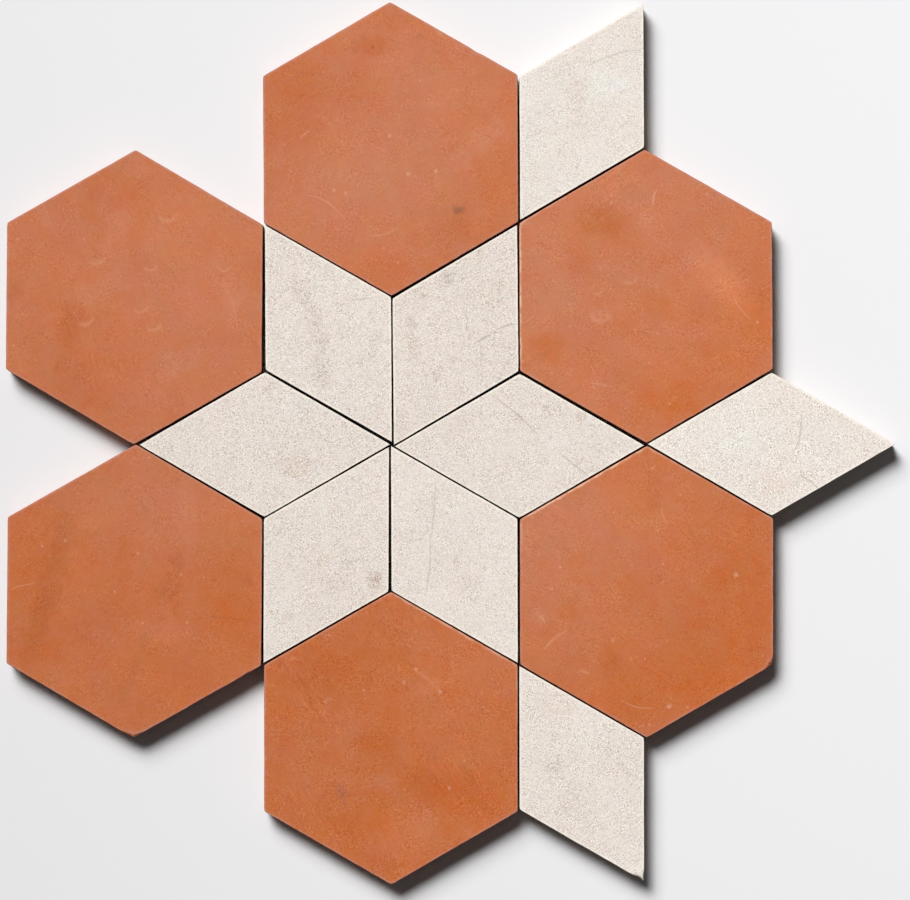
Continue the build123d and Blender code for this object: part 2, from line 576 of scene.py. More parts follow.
def meshPiece(name, points, quads, triangles, uv, attributes):
    corners = np.concatenate((quads.ravel(), triangles.ravel())).astype(np.int32)
    quadStarts = np.arange(len(quads)) * 4
    triangleStarts = len(quads) * 4 + np.arange(len(triangles)) * 3
    starts = np.concatenate((quadStarts, triangleStarts)).astype(np.int32)
    mesh = bpy.data.meshes.new(name)
    mesh.vertices.add(len(points))
    mesh.vertices.foreach_set("co", points.astype(np.float32).ravel())
    mesh.loops.add(len(corners))
    mesh.loops.foreach_set("vertex_index", corners)
    mesh.polygons.add(len(starts))
    mesh.polygons.foreach_set("loop_start", starts)
    mesh.update(calc_edges=True)
    layer = mesh.uv_layers.new(name="OFBake")
    layer.data.foreach_set("uv", uv.astype(np.float32).ravel())
    for label, values in attributes.items():
        made = mesh.attributes.new(label, "FLOAT", "POINT")
        made.data.foreach_set("value", values.astype(np.float32))
    mesh.shade_smooth()
    made = bpy.data.objects.new(name, mesh)
    bpy.context.scene.collection.objects.link(made)
    return made


def waves(points, seed, longest, count=14):
    # sum of cosines in scattered directions, about -1 to 1, with wavelengths from longest to a
    # quarter of it
    draw = np.random.default_rng(seed)
    turn = draw.uniform(0, 2 * np.pi, count)
    number = 2 * np.pi / longest * 4 ** draw.uniform(0, 1, count)
    phase = draw.uniform(0, 2 * np.pi, count)
    along = points[..., 0, None] * np.cos(turn) + points[..., 1, None] * np.sin(turn)
    return np.cos(along * number + phase).sum(-1) / math.sqrt(count)


def tileCorners(node):
    # corners of the tile's underside, anticlockwise
    points = np.array([vertex.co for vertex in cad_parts[node].data.vertices])
    low = points[points[:, 2] < points[:, 2].min() + 0.01 * millimetre]
    corners = np.unique(np.round(low[:, :2], 6), axis=0)
    away = corners - corners.mean(0)
    return corners[np.argsort(np.arctan2(away[:, 1], away[:, 0]))]


def moveSides(corners, steps):
    # sides that were cut a little further out or in: (direction in degrees, pixels of the photo)
    run = np.roll(corners, -1, 0) - corners
    outward = np.stack((run[:, 1], -run[:, 0]), 1) / np.hypot(*run.T)[:, None]
    away = corners + run / 2 - corners.mean(0)
    facing = np.degrees(np.arctan2(away[:, 1], away[:, 0]))
    level = (corners * outward).sum(1)
    for direction, step in steps:
        level[np.argmin(np.abs((facing - direction + 180) % 360 - 180))] += step * pixel
    # each corner lies where the moved sides meet
    pairs = np.stack((np.roll(outward, 1, 0), outward), 1)
    return np.linalg.solve(pairs, np.stack((np.roll(level, 1), level), 1)[..., None])[..., 0]


tileShape = {
    "crowding": 0.3,  # how much closer together the points lie near the corners
    "bluntness": 0.15 * millimetre,  # how far a corner is worn back
    "bluntLength": 0.7 * millimetre,
    "sideWave": 0.05 * millimetre,  # how far the sides wander inwards
    "sideWaveLength": 40 * millimetre,
    "fade": 2 * millimetre,  # how far in the wear of an edge is felt
    "bite": 0.6,  # how far a chip goes into the outline, as a share of its depth
    "uneven": 0.25,  # how much the arris varies in width
    "unevenLength": 9 * millimetre,
    "unevenRange": (0.5, 1.6),
    "archSteps": 5,  # rings across the arris
    "archPower": 1.25,
    "sideSteps": 7,
    "footBevel": 0.25 * millimetre,
    "footRings": np.array((0.0, 0.3, 0.6, 0.9)),  # shares of the way from the foot's edge in
    "edgeRings": np.array((0.7, 0.35, 0.15)) * millimetre,  # rings of the face beside the arris
    "ringPower": 0.9,
    "lineWidth": 0.27 * millimetre,
    # how far down the sides the grime and painted shade of the joints reach
    "grimeAndShadeDepth": 5.0 * millimetre,
}


def tileProfile(arris, innerRadius, height, faceRings):
    # stations as inset from the outline and depth under the face, one row each, and a one for
    # each row of the face and its arris
    shape = tileShape
    toEdge = np.linspace(1, 0, faceRings + 1)[1:-1] ** shape["ringPower"]
    toEdge = np.concatenate((toEdge, shape["edgeRings"] / innerRadius))
    faceInset = arris + toEdge[:, None] * (innerRadius - arris)
    arch = np.linspace(0, 1, shape["archSteps"])[:, None] * np.pi / 2
    archInset = arris * (1 - np.sin(arch)) ** shape["archPower"]
    archDepth = arris * (1 - np.cos(arch)) ** shape["archPower"]
    drop = np.linspace(0, 1, shape["sideSteps"] + 1)[1:, None]
    sideDepth = arris + drop * (height - arris - shape["footBevel"])
    inward = shape["footRings"][:, None] * (innerRadius - shape["footBevel"])
    footInset = shape["footBevel"] + inward + 0 * arris
    inset = np.concatenate((faceInset, archInset, 0 * sideDepth, footInset))
    depth = np.concatenate((0 * faceInset, archDepth, sideDepth, 0 * footInset + height))
    onFace = np.zeros(len(inset))
    onFace[: len(faceInset) + shape["archSteps"]] = 1
    return inset, depth, onFace


def tileFaces(ringCount, count):
    # quads between the rings and fans at both poles, which are the last two points
    ring = np.arange(ringCount * count).reshape(ringCount, count)
    turned = np.roll(ring, -1, 1)
    quads = np.stack((ring[:-1], ring[1:], turned[1:], turned[:-1]), -1).reshape(-1, 4)
    topPole = np.full(count, ringCount * count)
    topFan = np.stack((topPole, ring[0], turned[0]), -1)
    footFan = np.stack((ring[-1], topPole + 1, turned[-1]), -1)
    return quads, np.concatenate((topFan, footFan))


def tileSurface(node, tile, kind):
    # rings round the tile's middle: P = middle + (1 - inset / inner radius) outline(u) + drawn-in
    # edge, from the face's middle out over the arris, down the side and in to the foot's middle
    shape = tileShape
    corners = moveSides(tileCorners(node), tile.get("sides", ()))
    sides = len(corners)
    low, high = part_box(node)
    middle = corners.mean(0)
    count = sides * kind["perSide"]
    u = np.arange(count) / kind["perSide"]
    side = u.astype(int)
    share = u - side
    share = share - shape["crowding"] * np.sin(2 * np.pi * share) / (2 * np.pi)
    first = corners[side]
    run = corners[(side + 1) % sides] - first
    length = np.hypot(*run.T)[:, None]
    inward = np.stack((-run[:, 1], run[:, 0]), 1) / length
    outline = first + run * share[:, None] - middle
    innerRadius = -(inward * outline).sum(1).mean()
    toCorner = np.minimum(share, 1 - share)[:, None] * length  # distance to the nearest corner
    nearest = corners[(side + (share > 0.5)) % sides] - middle
    inBisector = -nearest / np.hypot(*nearest.T)[:, None]
    # chips widen the arris and blunt the outline
    chip = np.zeros(count)
    for x, y, width, depth in tile.get("chips", ()):
        away = np.hypot(*(outline + middle - fromPhoto(x, y)).T)
        chip += depth * pixel * np.exp(-(away / (width * pixel)) ** 2)
    drawn = shape["sideWave"] * (1 + waves(outline, tile["seed"], shape["sideWaveLength"])) / 2
    drawn = np.clip(drawn + kind["trim"], 0, None)[:, None] * inward
    blunt = np.exp(-(toCorner / shape["bluntLength"]) ** 2)
    drawn = drawn + inBisector * shape["bluntness"] * blunt
    uneven = 1 + shape["uneven"] * waves(outline, tile["seed"] + 50, shape["unevenLength"])
    arris = kind["arris"] * np.clip(uneven, *shape["unevenRange"]) + chip
    inset, depth, onFace = tileProfile(arris, innerRadius, high.z - low.z, kind["faceRings"])
    scale = 1 - inset / innerRadius
    felt = np.exp(-inset / shape["fade"])[..., None]
    flat = middle + outline * scale[..., None] + drawn * felt
    bitten = shape["bite"] * chip * np.exp(-depth / shape["fade"] - inset / shape["fade"])
    flat = flat + bitten[..., None] * inward
    # the face isn't quite flat
    hollow = kind["hollow"] * (1 + waves(flat, tile["seed"] + 90, kind["hollowLength"])) / 2
    hollow = np.clip(hollow, 0, None) * onFace[:, None]
    points = np.concatenate((flat, (high.z - depth - hollow)[..., None]), 2)
    poles = np.array(((*middle, high.z - hollow[0].mean()), (*middle, low.z)))
    points = np.concatenate((points.reshape(-1, 3), poles))
    quads, triangles = tileFaces(len(inset), count)
    # what the finishes read: clouding, the rubbed line along the arris and the rubbed places on it,
    # which carry a painted highlight on lit arrises, and the bevel with the upper side, where the
    # marble takes grime and painted shade
    tone, shade = patches(flat, tile)
    rub = (inset - kind["rubPlace"] * arris) / shape["lineWidth"]
    line = np.exp(-rub ** 2) * onFace[:, None]
    values = {
        "tone": tone * onFace[:, None] + tile.get("tone", 0.0),
        "shade": shade * onFace[:, None] + tile.get("shade", 0.0),
        "arrisLine": line,
        "rubbedHighlight": line * spots(flat, tile.get("rubbedHighlight", ())),
        "bevel": np.clip(1 - inset / arris, 0, 1) ** 6 * np.exp(-depth / shape["grimeAndShadeDepth"]),
        "face": onFace[:, None] + 0 * inset,
    }
    poleValues = {"arrisLine": (0, 0), "rubbedHighlight": (0, 0), "bevel": (0, 0), "face": (1, 0)}
    attributes = {}
    for label, rows in values.items():
        ends = poleValues.get(label, (rows[0].mean(), rows[-1].mean()))
        attributes[label] = np.concatenate((rows.ravel(), ends))
    reach = np.hypot(*(corners - middle).T).max()
    faces = np.concatenate((quads.ravel(), triangles.ravel()))
    seen = (points[faces, :2] - middle) / (2 * reach)
    uv = tileUv(seen, onFace, depth, kind["perSide"])
    return meshPiece(node + ".tile", points, quads, triangles, uv, attributes)


# How a tile's surface lies in the square of its bake: the face fills most of it, the sides lie in
# strips and the foot beside the face
tileLayout = {
    "faceMiddle": np.array((0.40, 0.41)),
    "faceSize": 0.8,
    "footMiddle": np.array((0.89, 0.14)),
    "footSize": 0.21,
    "stripColumns": 3,
    "stripStart": 0.84,
    "stripStep": 0.07,
    "stripHeight": 0.06,
    "stripMargin": 0.02,
}


def tileUv(seen, onFace, depth, perSide):
    # seen holds each loop's place as seen from above, -0.5 to 0.5 over the tile's reach
    layout = tileLayout
    ringCount, count = depth.shape
    quadRing = np.repeat(np.arange(ringCount - 1), count)
    quadSample = np.tile(np.arange(count), ringCount - 1)
    faceQuad = onFace[quadRing + 1] == 1
    footQuad = quadRing >= ringCount - 1 - len(tileShape["footRings"])
    top = layout["faceMiddle"] + seen * layout["faceSize"]
    foot = layout["footMiddle"] + seen * layout["footSize"]
    kindOf = np.concatenate((
        np.repeat(np.where(faceQuad, 0, np.where(footQuad, 2, 1)), 4),
        np.zeros(3 * count, int),
        np.full(3 * count, 2),
    ))
    # strips: along the side, and down it
    sideOf = (quadSample // perSide)[:, None]
    start = (quadSample % perSide) / perSide
    alongShare = np.stack((start, start, start + 1 / perSide, start + 1 / perSide), 1)
    down = depth.mean(1) / depth.max()
    upper = down[quadRing]
    lower = down[quadRing + 1]
    downShare = np.stack((upper, lower, lower, upper), 1)
    columns, margin = layout["stripColumns"], layout["stripMargin"]
    stripU = (sideOf % columns + margin + (1 - 2 * margin) * alongShare) / columns
    stripV = layout["stripStart"] + layout["stripStep"] * (sideOf // columns)
    stripV = stripV + layout["stripHeight"] * downShare
    strips = np.stack((stripU.ravel(), stripV.ravel()), 1)
    uv = np.where(kindOf[:, None] == 0, top, foot)
    sideLoops = kindOf == 1
    uv[sideLoops] = strips[sideLoops[: len(strips)]]
    return uv


def spots(points, marks):
    # sum of round spots, each exp(-q^4): middle and radius in pixels of the photo, strength
    total = np.zeros(points.shape[:-1])
    for x, y, radius, strength in marks:
        away = np.hypot(*np.moveaxis(points - fromPhoto(x, y), -1, 0))
        total += strength * np.exp(-(away / (radius * pixel)) ** 4)
    return total


patchRuffle = {"length": 14 * millimetre, "amount": 0.9 * millimetre}  # how patches' edges wander


def patches(points, tile):
    # sum of ellipses in coordinates ruffled by waves: regions are soft, exp(-q^2), and patches
    # firmer, exp(-q^4)
    ruffle = np.stack((
        waves(points, tile["seed"] + 7, patchRuffle["length"]),
        waves(points, tile["seed"] + 8, patchRuffle["length"]),
    ), -1)
    ruffled = points + patchRuffle["amount"] * ruffle
    tone = np.zeros(points.shape[:-1])
    shade = np.zeros(points.shape[:-1])
    marks = [(*region, 1) for region in tile.get("regions", ())]
    marks += [(*patch, 2) for patch in tile.get("patches", ())]
    for x, y, radiusX, radiusY, turn, toneStep, shadeStep, firmness in marks:
        away = (ruffled - fromPhoto(x, y)) / pixel
        cos, sin = math.cos(math.radians(turn)), math.sin(math.radians(turn))
        along = (away[..., 0] * cos + away[..., 1] * sin) / radiusX
        across = (away[..., 1] * cos - away[..., 0] * sin) / radiusY
        soft = np.exp(-(along ** 2 + across ** 2) ** firmness)
        tone += toneStep * soft
        shade += shadeStep * soft
    return tone, shade


# The terracotta hexagons. Regions and patches: middle, two radii, turn, tone (mauve up, orange
# down) and shade (light up, dark down), in pixels of the photo. Strokes: direction in degrees and
# strength. Rubbed highlights: middle, radius and strength of worn arrises that carry a painted
# highlight where they face the lamp
hexagonKind = {
    "perSide": 84,
    "faceRings": 50,
    "arris": 0.35 * millimetre,
    "rubPlace": 1.1,  # where the rubbed line runs, as a share of the arris
    "trim": 0.0,  # how far the sides are drawn in
    "hollow": 0.05 * millimetre,
    "hollowLength": 45 * millimetre,
}
hexagonTiles = {
    "hexagon_top": {
        "seed": 11, "tone": 0.25, "shade": -0.15, "strokes": (25, 0.14),
        "sides": ((-60, 0.15),),
        "regions": (
            (283, 110, 40, 80, 0, -0.5, -0.1), (350, 180, 85, 55, 0, 0.45, 0.1),
            (440, 88, 60, 45, 0, 0.3, 0.0), (497, 200, 35, 50, 0, -0.45, 0.1),
            (390, 272, 40, 25, 0, -0.3, 0.0),
        ),
        "patches": (
            (309, 82, 28, 22, 0, -0.35, -0.2), (374, 47, 19, 12, 0, -0.6, -0.6),
            (392, 22, 26, 10, 0, -0.4, 0.0), (357, 87, 28, 20, 0, -0.2, -0.2),
            (477, 145, 34, 12, 38, 0.5, 0.4), (459, 209, 5, 5, 0, 0.5, -4.5),
            (457, 230, 13, 16, 0, -0.3, -0.3), (279, 157, 6, 9, 0, 0.5, 0.0),
            (330, 119, 20, 4, -5, 0.3, 0.2),
        ),
        "scratches": (
            (305, 195, 345, 220, 6, 1.6, 0.35), (368, 236, 400, 226, -3, 1.6, 0.3),
            (300, 138, 310, 130, 0, 1.6, 0.4), (436, 30, 446, 40, 0, 1.8, 0.4),
        ),
        "dots": (
            (408, 174, 3, 0.36), (436, 171, 3.5, 0.36), (390, 136, 3, 0.36), (334, 190, 3, 0.32),
            (346, 193, 3, 0.28),
        ),
        "darkDots": ((373, 47, 3, 0.4),),
        "chips": ((475, 52, 5, 1.5),),
    },
    "hexagon_upper_left": {
        "seed": 12, "tone": 0.2, "strokes": (-75, 0.16),
        "sides": ((180, 0.4), (-120, -0.2), (-60, 0.45), (0, 0.4)),
        "regions": (
            (80, 375, 50, 45, 0, -0.5, -0.4), (60, 320, 30, 30, 0, -0.35, -0.3),
            (120, 185, 50, 30, 0, -0.2, 0.0), (180, 290, 60, 80, 0, 0.3, 0.15),
        ),
        "patches": (
            (127, 190, 22, 18, 0, -0.2, -0.2), (90, 205, 12, 18, 0, -0.3, -0.2),
            (117, 225, 26, 10, 70, 0.3, 0.4), (137, 165, 14, 14, 0, 0.2, 0.2),
            (95, 290, 36, 10, 15, 0.35, 0.0), (72, 325, 13, 20, 0, -0.3, -0.6),
            (97, 402, 16, 11, 0, -0.2, -0.2), (178, 364, 24, 12, 40, 0.5, 0.1),
            (230, 302, 8, 32, 0, 0.15, 0.4), (12, 290, 9, 14, 0, -0.1, -0.8),
            (42, 213, 22, 4, -62, 0.4, 0.1),
        ),
        "crescents": (
            (84, 316, 9, -70, 3, 0.5), (153, 322, 8, -70, 3, 0.45), (97, 256, 8, -80, 3, 0.4),
            (150, 262, 8, -80, 3, 0.4), (140, 304, 8, -80, 3, 0.35), (167, 210, 11, -80, 3.5, 0.4),
            (224, 264, 7, -90, 2.5, 0.45),
        ),
        "scratches": (
            (38, 196, 50, 222, 1, 2, 0.15), (34, 258, 46, 240, 1, 2, 0.12),
            (222, 285, 236, 330, 5, 2.2, 0.14),
        ),
        "darkDots": ((146, 396, 2.5, 0.4),),
    },
    "hexagon_upper_right": {
        "seed": 13, "tone": 0.3, "grit": 1.15, "strokes": (35, 0.2),
        "sides": ((120, 0.45), (180, -0.3), (-120, 0.6), (-60, 0.25), (0, -0.4)),
        "rubbedHighlight": ((521, 296, 78, 1.3),),
        "regions": (
            (545, 275, 40, 70, 0, 0.45, -0.1), (640, 200, 60, 45, 0, 0.3, 0.0),
            (762, 290, 25, 70, 0, -0.5, 0.0), (720, 350, 60, 40, 20, -0.4, 0.3),
            (671, 400, 60, 30, 0, -0.6, 0.1),
        ),
        "patches": (
            (603, 220, 27, 18, 0, -0.6, -0.8), (581, 260, 14, 20, 0, -0.4, -0.1),
            (636, 195, 15, 11, 0, 0.2, -1.0), (644, 219, 8, 7, 0, 0.5, 0.4),
            (601, 315, 9, 10, 0, 0.6, 0.2), (681, 285, 24, 16, 0, 0.0, 0.4),
            (720, 280, 42, 17, -50, 0.25, 1.5), (656, 305, 16, 15, 0, -0.4, -0.2),
            (671, 400, 30, 18, 0, -0.25, 0.0), (550, 347, 20, 18, 0, -0.6, -0.1),
            (594, 395, 20, 16, 0, 0.3, 0.2), (623, 406, 13, 8, 0, 0.3, -0.4),
        ),
        "crescents": (
            (600, 310, 11, -90, 3, 0.4), (597, 288, 6, -60, 2.5, 0.4), (629, 275, 8, -70, 2.5, 0.4),
        ),
        "scratches": (
            (653, 205, 657, 190, 1.5, 2, 0.6), (590, 383, 612, 387, 1, 1.8, 0.3),
            (734, 297, 750, 319, -2, 2.5, 0.25),
        ),
        "dots": ((758, 322, 2.5, 0.4),),
    },
    "hexagon_lower_left": {
        "seed": 14, "tone": -0.15, "strokes": (60, 0.14),
        "sides": ((180, 0.4), (0, 0.15), (60, 0.2)),
        "regions": (
            (175, 500, 90, 55, 0, 0.5, -0.1), (30, 570, 28, 90, 0, -0.35, -0.2),
            (230, 605, 38, 50, 0, -0.45, 0.0), (140, 690, 90, 45, 0, -0.25, 0.0),
        ),
        "patches": (
            (48, 590, 80, 12, 75, -0.15, -1.1), (185, 519, 14, 46, 0, 0.25, 0.2),
            (124, 560, 9, 24, 0, -0.3, -0.2), (177, 564, 8, 13, 0, -0.3, -1.1),
            (171, 589, 14, 12, 0, -0.2, -1.2), (177, 608, 5, 12, 0, -0.3, -0.8),
            (246, 579, 6, 7, 0, -0.2, -0.7), (174, 634, 26, 12, 0, 0.4, 0.2),
            (139, 657, 64, 8, 68, 0.1, -0.7), (146, 508, 3, 5, 0, 0.0, -1.2),
        ),
        "scratches": ((10, 590, 35, 583, 1, 1.6, 0.35),),
        "dots": ((65, 540, 2.5, 0.36), (42, 546, 2.5, 0.32)),
        "darkMarks": ((190, 620, 262, 625, 5, 1.8, 0.3),),
        "darkDots": ((38, 598, 2.5, 0.4),),
        "chips": ((133, 734, 7, 2.5), (20, 660, 8, 1), (243, 668, 8, 1)),
    },
    "hexagon_bottom": {
        "seed": 15, "tone": -0.35, "grit": 1.45, "strokes": (-58, 0.3),
        "sides": ((60, 0.15), (-120, -0.3)),
        "rubbedHighlight": ((455, 630, 78, 0.7),),
        "regions": (
            (325, 665, 60, 40, 0, -0.25, -0.35), (470, 690, 50, 70, 0, 0.2, 0.1),
            (340, 735, 40, 30, 0, 0.15, 0.0), (405, 830, 60, 30, 0, 0.05, 0.5),
            (440, 790, 60, 30, 0, -0.3, -0.2),
        ),
        "patches": (
            (322, 675, 26, 18, 0, -0.1, -0.4), (417, 635, 15, 20, 0, 0.2, 0.1),
            (412, 685, 15, 12, 0, 0.2, 0.1), (437, 684, 28, 5, 25, 0.4, 0.6),
            (284, 715, 23, 10, 0, -0.2, 0.0), (377, 746, 24, 14, -20, -0.4, -0.2),
            (427, 785, 16, 15, 0, -0.2, -0.3), (482, 805, 18, 14, 0, -0.25, -0.1),
            (342, 794, 6, 11, 0, 0.4, -2.0), (382, 822, 23, 18, 0, -0.2, 0.4),
            (422, 826, 13, 17, 0, 0.4, 0.1), (387, 782, 18, 8, 0, 0.45, 0.2),
            (347, 826, 17, 13, 0, -0.3, -0.3), (387, 866, 16, 10, 0, -0.3, -0.2),
        ),
        "crescents": ((330, 704, 5, 120, 2.5, 0.5), (295, 663, 5, 100, 2.5, 0.35)),
        "scratches": ((412, 668, 440, 693, 2, 2.5, 0.2),),
        "dots": (
            (449, 788, 2.5, 0.4), (440, 692, 3.5, 0.4), (416, 669, 3, 0.36), (404, 682, 3, 0.36),
        ),
    },
    "hexagon_lower_right": {
        "seed": 16, "tone": -0.05, "grit": 1.1, "strokes": (-30, 0.2),
        "sides": ((0, 0.2), (60, 0.3), (120, -0.3), (180, 0.25)),
        "rubbedHighlight": ((583, 481, 78, 1.6),),
        "regions": (
            (540, 540, 55, 70, 0, 0.65, 0.0), (610, 530, 60, 50, 0, 0.35, 0.1),
            (745, 600, 60, 90, 0, -0.55, 0.0), (670, 690, 90, 40, 0, -0.6, 0.0),
            (690, 500, 50, 40, 0, -0.1, 0.0),
        ),
        "patches": (
            (651, 499, 14, 10, -30, -0.1, -0.5), (586, 557, 11, 12, 0, -0.3, -0.1),
            (546, 561, 9, 11, 0, -0.25, -0.1), (627, 582, 9, 11, 0, -0.3, 0.2),
            (568, 605, 10, 14, 0, -0.35, -0.1), (551, 631, 12, 8, 0, -0.2, -0.4),
            (540, 618, 5, 6, 0, 0.4, 0.3), (721, 579, 16, 12, 0, -0.25, 0.0),
            (696, 614, 26, 26, 0, -0.15, -0.1), (641, 605, 20, 15, 0, -0.2, 0.1),
            (616, 704, 30, 14, 0, -0.2, 0.0), (611, 659, 12, 17, 0, -0.2, -0.4),
        ),
        "scratches": (
            (620, 700, 655, 708, -3, 1.8, 0.35), (580, 670, 590, 674, 0, 3, 0.3),
            (538, 616, 544, 624, 2, 2, 0.45), (545, 649, 560, 634, 1, 3, 0.35),
            (556, 641, 567, 630, 1, 2, 0.3), (662, 508, 668, 524, -2, 2, 0.3),
        ),
        "dots": ((669, 706, 4, 0.4), (736, 575, 4, 0.4), (613, 640, 3, 0.24)),
        "chips": ((774, 665, 6, 3),),
    },
}

# The marble diamonds. Tone is brown up and grey down, shade is light up and dark down
diamondKind = {
    "perSide": 70,
    "faceRings": 38,
    "arris": 0.15 * millimetre,
    "rubPlace": 2.4,
    "trim": 0.07 * millimetre,
    "hollow": 0.01 * millimetre,
    "hollowLength": 60 * millimetre,
}
diamondTiles = {
    "star_diamond_upper_left": {
        "seed": 21, "grit": 1.05,
        "sides": ((-30, 0.45),),
        "patches": (
            (293, 264, 12, 5, -76, 0.4, -0.6), (300, 288, 16, 9, -76, 0.2, -1.4),
            (313, 311, 15, 9, -58, 0.0, -1.2), (320, 342, 20, 9, -80, 0.2, -1.3),
            (322, 375, 16, 9, -88, 0.2, -1.2), (319, 290, 6, 5, 0, 0.0, -1.3),
            (376, 338, 8, 6, 0, -0.2, -1.0), (382, 415, 7, 7, 0, 0.7, -0.4),
            (283, 240, 8, 5, 0, 0.2, -1.7),
        ),
        "veins": ((345, 300, 375, 300, 1, 1.6, 0.35),),
    },
    "star_diamond_upper_right": {
        "seed": 22, "tone": 0.1, "shade": -0.3,
        "sides": ((90, 0.7), (-150, -0.3), (-90, 0.6), (30, 0.15)),
        "patches": (
            (447, 279, 10, 8, 30, -0.4, -2.4), (417, 290, 6, 4, 0, -0.3, -1.4),
            (425, 296, 5, 5, 0, 0.6, -2.4), (410, 324, 4, 8, 0, 0.0, -2.0),
            (414, 349, 5, 10, 0, 0.5, -1.7), (452, 358, 7, 5, 0, 0.1, -1.6),
            (436, 376, 5, 7, 0, 0.7, -2.3), (405, 402, 12, 14, 0, 0.3, 0.5),
            (500, 285, 6, 4, 0, 0.6, -1.3), (478, 255, 4, 6, 0, 0.5, -1.5),
            (480, 372, 6, 5, 0, 0.2, -1.0), (400, 425, 6, 6, 0, 0.3, -0.8),
        ),
        "veins": (
            (478, 342, 490, 335, 1, 2.2, 0.7), (497, 330, 515, 324, 1, 2.2, 0.6),
            (490, 335, 497, 330, 0, 1.6, 0.3), (480, 340, 480, 365, 1, 1.8, 0.3),
        ),
    },
    "star_diamond_left": {
        "seed": 23, "grit": 1.1,
        "sides": ((-150, 0.2), (30, 0.35), (150, -0.1)),
        "patches": (
            (268, 387, 5, 5, 0, 0.1, -2.4), (295, 407, 16, 12, 0, -0.6, -0.4),
            (296, 467, 17, 12, 0, 0.8, -1.1), (277, 492, 5, 6, 0, 0.0, -0.8),
            (340, 465, 9, 6, 0, 0.0, -0.5),
        ),
    },
    "star_diamond_right": {
        "seed": 24,
        "sides": ((30, 0.2), (150, -0.2), (-150, 0.3)),
        "patches": (
            (547, 410, 5, 5, 0, 0.6, -1.7), (582, 417, 5, 5, 0, 0.5, -1.8),
            (515, 415, 9, 6, 0, 0.0, -1.0),
        ),
        "veins": ((490, 394, 538, 435, 2, 2, 0.5), (562, 455, 587, 475, 0, 2, 0.5)),
    },
    "star_diamond_lower_left": {
        "seed": 25, "shade": 0.3, "grit": 1.08,
        "sides": ((90, 0.2),),
        "patches": (
            (323, 560, 9, 7, 0, 0.9, -1.0), (351, 560, 6, 5, 0, -0.3, -0.8),
            (376, 580, 6, 6, 0, 0.3, -4.8), (286, 616, 8, 6, 0, 0.0, -2.0),
            (280, 604, 7, 6, 0, -0.8, -0.2), (283, 562, 9, 8, 0, 0.6, -0.3),
        ),
        "veins": ((350, 500, 385, 490, 1, 1.6, 0.35),),
    },
    "star_diamond_lower_right": {
        "seed": 26, "shade": 0.6,
        "sides": ((-30, 0.3), (90, -0.3), (150, 0.3)),
        "patches": ((470, 585, 13, 9, 0, -0.1, -1.2), (457, 562, 5, 5, 0, 0.3, -1.4)),
        "veins": ((435, 480, 430, 540, 2, 2, 0.4), (430, 540, 425, 595, 2, 2, 0.4)),
    },
    "outer_diamond_upper_right": {
        "seed": 27, "tone": -0.3, "shade": 0.3, "grit": 0.92,
        "patches": (
            (635, 45, 18, 14, 0, -0.1, -0.4), (577, 95, 10, 26, 0, 0.4, -0.7),
            (610, 85, 22, 16, 0, -0.6, 0.8), (565, 48, 14, 5, 30, 0.3, -1.2),
        ),
        "veins": ((590, 65, 640, 50, 3, 2, 0.4), (554, 53, 577, 39.5, 0, 1.6, 0.7)),
        "chips": ((572, 45, 10, 1.5),),
    },
    "outer_diamond_right": {
        "seed": 28, "tone": -0.1, "shade": 1.0, "grit": 1.33,
        "patches": (
            (740, 435, 40, 30, 0, -0.5, 0.4), (825, 440, 30, 30, 0, -0.5, 0.2),
            (775, 485, 20, 10, 0, 0.9, -1.0),
        ),
        "veins": ((802, 415, 795, 450, 2, 2, 0.45), (800, 475, 820, 490, 1, 2, 0.5)),
    },
    "outer_diamond_lower_right": {
        "seed": 29, "shade": 0.9, "grit": 1.2,
        "sides": ((-30, 0.25),),
        "patches": (
            (555, 770, 10, 14, 0, 0.0, -1.5), (565, 805, 10, 8, 0, 0.0, -1.5),
            (560, 705, 16, 12, 0, 0.7, -0.5),
        ),
        "chips": ((640, 877, 5, 3),),
    },
}


def layTiles(tiles, kind, finish):
    for node, tile in tiles.items():
        piece = tileSurface(node, tile, kind)
        piece.data.materials.append(finish(node, tile))
        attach(piece, "root")
        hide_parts(node)


layTiles(hexagonTiles, hexagonKind, terracotta)
print("terracotta hexagons:", len(hexagonTiles))
layTiles(diamondTiles, diamondKind, marble)
print("marble diamonds:", len(diamondTiles))

# The backing mesh: flat weft yarns, and warp yarns in pairs that twist half a turn from one weft
# to the next, one over it and one under it
weave = {
    "pitch": 5.0 * millimetre,
    "level": 0.25 * millimetre,  # middle of the mesh
    "pairSwing": 0.30 * millimetre,
    "pairRise": 0.165 * millimetre,
    "cutBack": 0.3 * millimetre,
}
warp = {"halfWidth": 0.16 * millimetre, "halfHeight": 0.08 * millimetre, "perPitch": 4, "around": 5}
weft = {"halfWidth": 0.42 * millimetre, "halfHeight": 0.08 * millimetre, "perPitch": 2, "around": 6}
fibreFinish = {
    "pale": colour(232, 233, 226),
    "dark": colour(196, 198, 188),
    "roughness": 0.45,
    "filaments": (60.0, 7.0),  # along the longest yarn and across each
    "bump": 0.4,
    "bumpDepth": 0.04 * millimetre,
}


def strandRuns(node, along):
    # the node's strands as (middle across, start, end): edges that overlap along a strand belong
    # together
    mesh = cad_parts[node].data
    points = np.array([vertex.co for vertex in mesh.vertices])
    edges = np.array([edge.vertices for edge in mesh.edges])
    lane = np.round(points[:, 1 - along] / (weave["pitch"] / 2))
    runs = []
    for index in np.unique(lane):
        spans = np.sort(points[edges[lane[edges[:, 0]] == index], along], 1)
        spans = spans[np.argsort(spans[:, 0])]
        reach = np.maximum.accumulate(spans[:, 1])
        opens = np.append(True, spans[1:, 0] > reach[:-1] + 0.1 * millimetre)
        closes = np.append(opens[1:], True)
        middle = index * weave["pitch"] / 2
        for low, high in zip(spans[opens, 0], reach[closes]):
            runs.append((middle, low + weave["cutBack"], high - weave["cutBack"]))
    return runs


